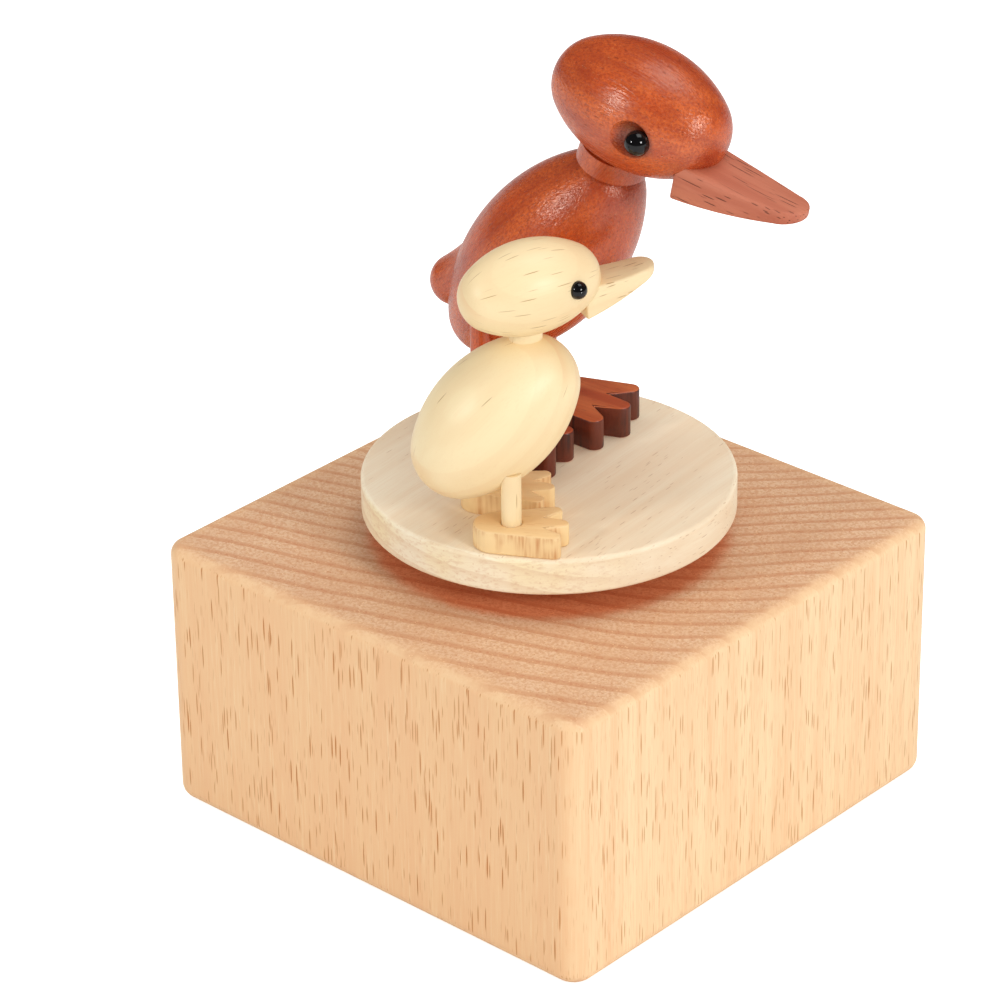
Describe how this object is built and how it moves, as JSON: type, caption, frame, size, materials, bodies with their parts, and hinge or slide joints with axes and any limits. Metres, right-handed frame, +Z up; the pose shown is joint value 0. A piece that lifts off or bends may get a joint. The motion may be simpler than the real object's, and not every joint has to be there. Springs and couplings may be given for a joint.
{
  "type": "wooden music box",
  "caption": "Square hardwood music box with a turning disc that carries a turned wooden duck and duckling; winding the disc winds the clockwork.",
  "frame": {"origin": "centre of the block's bottom face, on the surface that the box stands on", "axes": "+Z up along the disc's axis, the block's four sides facing X and Y; the disc is at its pictured turn at rest"},
  "size_m": [0.0646, 0.0646, 0.0959],
  "materials": {
    "bead_black": "polished",
    "beech": "sanded, oiled",
    "beech_plate": "sanded",
    "brass": "plain",
    "lead": "dull lead",
    "maple_pale": "sanded, matt",
    "steel": "plain",
    "wood_dark": "stained dark",
    "wood_pale": "satin",
    "wood_pale_feet": "sawn, satin top",
    "wood_red": "satin, stained",
    "wood_red_feet": "stained, dark sawn sides",
    "zinc": "die cast, grey"
  },
  "bodies": {
    "base": {"barrel_rivets": "steel", "bearing_screw": "steel", "bottom_plate": "beech_plate", "bottom_plate_screws": "steel", "comb": "steel", "comb_screws": "steel", "comb_weights": "lead", "cylinder_bearing": "brass", "frame_screws": "steel", "governor_frame": "brass", "governor_screws": "steel", "mainspring": "steel", "movement_frame": "zinc", "spring_barrel": "steel", "wood_block": "beech"},
    "turntable": {"turntable_disc": "maple_pale", "turntable_post": "wood_dark", "winding_arbor": "steel", "arbor_ring": "steel", "duckling_bill": "wood_pale", "duckling_body": "wood_pale", "duckling_head": "wood_pale", "duckling_left_eye": "bead_black", "duckling_left_foot": "wood_pale_feet", "duckling_left_leg": "wood_pale", "duckling_neck_dowel": "wood_pale", "duckling_right_eye": "bead_black", "duckling_right_foot": "wood_pale_feet", "duckling_right_leg": "wood_pale", "mother_bill": "wood_red", "mother_body": "wood_red", "mother_head": "wood_red", "mother_left_eye": "bead_black", "mother_left_foot": "wood_red_feet", "mother_left_leg": "wood_red", "mother_neck_dowel": "wood_pale", "mother_right_eye": "bead_black", "mother_right_foot": "wood_red_feet", "mother_right_leg": "wood_red"},
    "crown": {"crown_wheel": "brass", "clutch_spring": "steel"},
    "cylinder": {"music_cylinder": "brass", "cylinder_caps": "brass", "cylinder_arbor": "steel", "cylinder_gear": "brass"},
    "governor_first": {"first_governor_arbor": "steel", "first_governor_wheel": "brass"},
    "governor_second": {"second_governor_arbor": "steel", "worm_wheel": "brass"},
    "governor_fast": {"governor_worm": "steel", "governor_fly": "steel"}
  },
  "joints": [
    {"name": "turntable_spin", "type": "hinge", "parent": "base", "child": "turntable", "pos_m": [0, 0, 0.036], "axis": [0, 0, 1], "continuous": true},
    {"name": "crown_spin", "type": "hinge", "parent": "base", "child": "crown", "pos_m": [0, 0, 0.02], "axis": [0, 0, 1], "continuous": true},
    {"name": "cylinder_spin", "type": "hinge", "parent": "base", "child": "cylinder", "pos_m": [0, 0, 0.01145], "axis": [1, 0, 0], "continuous": true},
    {"name": "governor_first_spin", "type": "hinge", "parent": "base", "child": "governor_first", "pos_m": [-0.01, 0.0099, 0.01145], "axis": [1, 0, 0], "continuous": true},
    {"name": "governor_second_spin", "type": "hinge", "parent": "base", "child": "governor_second", "pos_m": [-0.01, 0.01556, 0.01819], "axis": [1, 0, 0], "continuous": true},
    {"name": "fly_spin", "type": "hinge", "parent": "base", "child": "governor_fast", "pos_m": [-0.008, 0.02196, 0.016], "axis": [0, 0, 1], "continuous": true}
  ],
  "couplings": [
    {"joint": "crown_spin", "follows": "turntable_spin", "ratio": 1},
    {"joint": "cylinder_spin", "follows": "turntable_spin", "ratio": 1.4},
    {"joint": "governor_first_spin", "follows": "turntable_spin", "ratio": -4.375},
    {"joint": "governor_second_spin", "follows": "turntable_spin", "ratio": 19.688},
    {"joint": "fly_spin", "follows": "turntable_spin", "ratio": -472.5}
  ]
}
